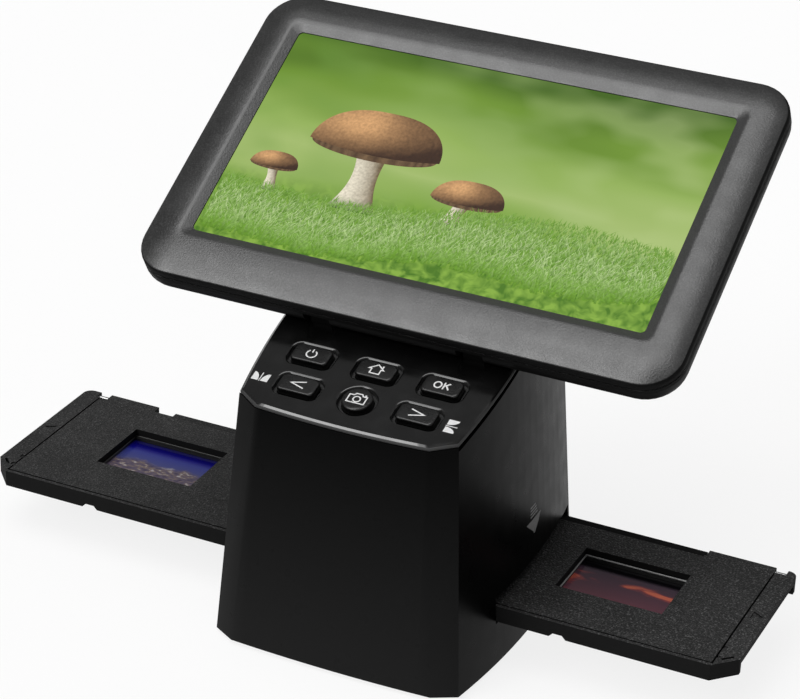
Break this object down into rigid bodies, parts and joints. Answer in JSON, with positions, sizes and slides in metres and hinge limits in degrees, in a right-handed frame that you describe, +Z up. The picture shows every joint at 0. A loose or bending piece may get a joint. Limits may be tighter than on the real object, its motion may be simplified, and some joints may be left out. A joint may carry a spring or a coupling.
{
  "type": "film and slide scanner",
  "caption": "Film and slide scanner: tapered tower with sloped key deck, tilting seven inch display and slide tray through its base",
  "frame": {"origin": "on the desk under the middle of the body, at the centre of the four feet", "axes": "+Z up, +X along the slide tray to the right as seen from the front, -Y towards the user"},
  "size_m": [0.2638, 0.1431, 0.1659],
  "materials": {
    "shell_black": "satin black moulded plastic",
    "deck_black": "fine matte black plastic",
    "key_grey": "matte dark grey plastic with white print",
    "bezel_grey": "fine speckled dark grey plastic",
    "cover_grey": "matte dark grey plastic",
    "screen": "lit picture under glass",
    "tray_black": "coarse grained black plastic",
    "inner_black": "matte black plastic",
    "rubber": "soft black rubber",
    "steel": "bare steel",
    "circuit_green": "green circuit board",
    "led_white": "white",
    "lens": "clear glass",
    "sensor_dark": "dark chip",
    "mount_plastic": "pale grey plastic",
    "film": "developed film"
  },
  "bodies": {
    "body": {"main_shell": "shell_black", "base_plate": "shell_black", "rubber_feet": "rubber", "base_screws": "steel", "control_deck": "deck_black", "button_board": "circuit_green", "push_switches": "steel", "film_bed": "inner_black", "led_board": "led_white", "led_chips": "led_white", "diffuser_plate": "led_white", "upper_guide": "inner_black", "detent_spring": "steel", "camera_hood": "inner_black", "lens_barrel": "inner_black", "lens_glass": "lens", "sensor_board": "circuit_green", "image_sensor": "sensor_dark", "main_board": "circuit_green", "board_screws": "steel", "usb_socket": "steel", "video_socket": "steel", "card_slot": "steel", "hinge_stand_left": "shell_black", "hinge_stand_right": "shell_black", "stand_screws": "steel"},
    "display": {"hinge_pins": "steel", "display_bezel": "bezel_grey", "display_back_cover": "cover_grey", "lcd_panel": "screen", "display_board": "circuit_green", "hinge_bracket_left": "steel", "hinge_bracket_right": "steel", "bracket_screws": "steel", "display_screws": "steel"},
    "tray": {"tray_base": "tray_black", "tray_cover": "tray_black", "tray_hinge_pins": "steel", "slide_mounts": "mount_plastic", "slide_films": "film"},
    "power_button_cap": {"power_button": "key_grey"},
    "home_button_cap": {"home_button": "key_grey"},
    "ok_button_cap": {"ok_button": "key_grey"},
    "left_button_cap": {"left_button": "key_grey"},
    "right_button_cap": {"right_button": "key_grey"},
    "capture_button_cap": {"capture_button": "key_grey"}
  },
  "joints": [
    {"name": "display_tilt", "type": "hinge", "parent": "body", "child": "display", "pos_m": [0, -0.00815, 0.10279], "axis": [1, 0, 0], "range_deg": [-13, 59.6]},
    {"name": "tray_slide", "type": "slide", "parent": "body", "child": "tray", "axis": [1, 0, 0], "range_m": [-0.0745, 0.096]},
    {"name": "power_press", "type": "slide", "parent": "body", "child": "power_button_cap", "axis": [0, 0.2924, -0.9563], "range_m": [0, 0.0006], "stiffness_N_per_m": 400, "springref_m": -0.0006},
    {"name": "home_press", "type": "slide", "parent": "body", "child": "home_button_cap", "axis": [0, 0.2924, -0.9563], "range_m": [0, 0.0006], "stiffness_N_per_m": 400, "springref_m": -0.0006},
    {"name": "ok_press", "type": "slide", "parent": "body", "child": "ok_button_cap", "axis": [0, 0.2924, -0.9563], "range_m": [0, 0.0006], "stiffness_N_per_m": 400, "springref_m": -0.0006},
    {"name": "left_press", "type": "slide", "parent": "body", "child": "left_button_cap", "axis": [0, 0.2924, -0.9563], "range_m": [0, 0.0006], "stiffness_N_per_m": 400, "springref_m": -0.0006},
    {"name": "right_press", "type": "slide", "parent": "body", "child": "right_button_cap", "axis": [0, 0.2924, -0.9563], "range_m": [0, 0.0006], "stiffness_N_per_m": 400, "springref_m": -0.0006},
    {"name": "capture_press", "type": "slide", "parent": "body", "child": "capture_button_cap", "axis": [0, 0.2924, -0.9563], "range_m": [0, 0.0006], "stiffness_N_per_m": 400, "springref_m": -0.0006}
  ]
}
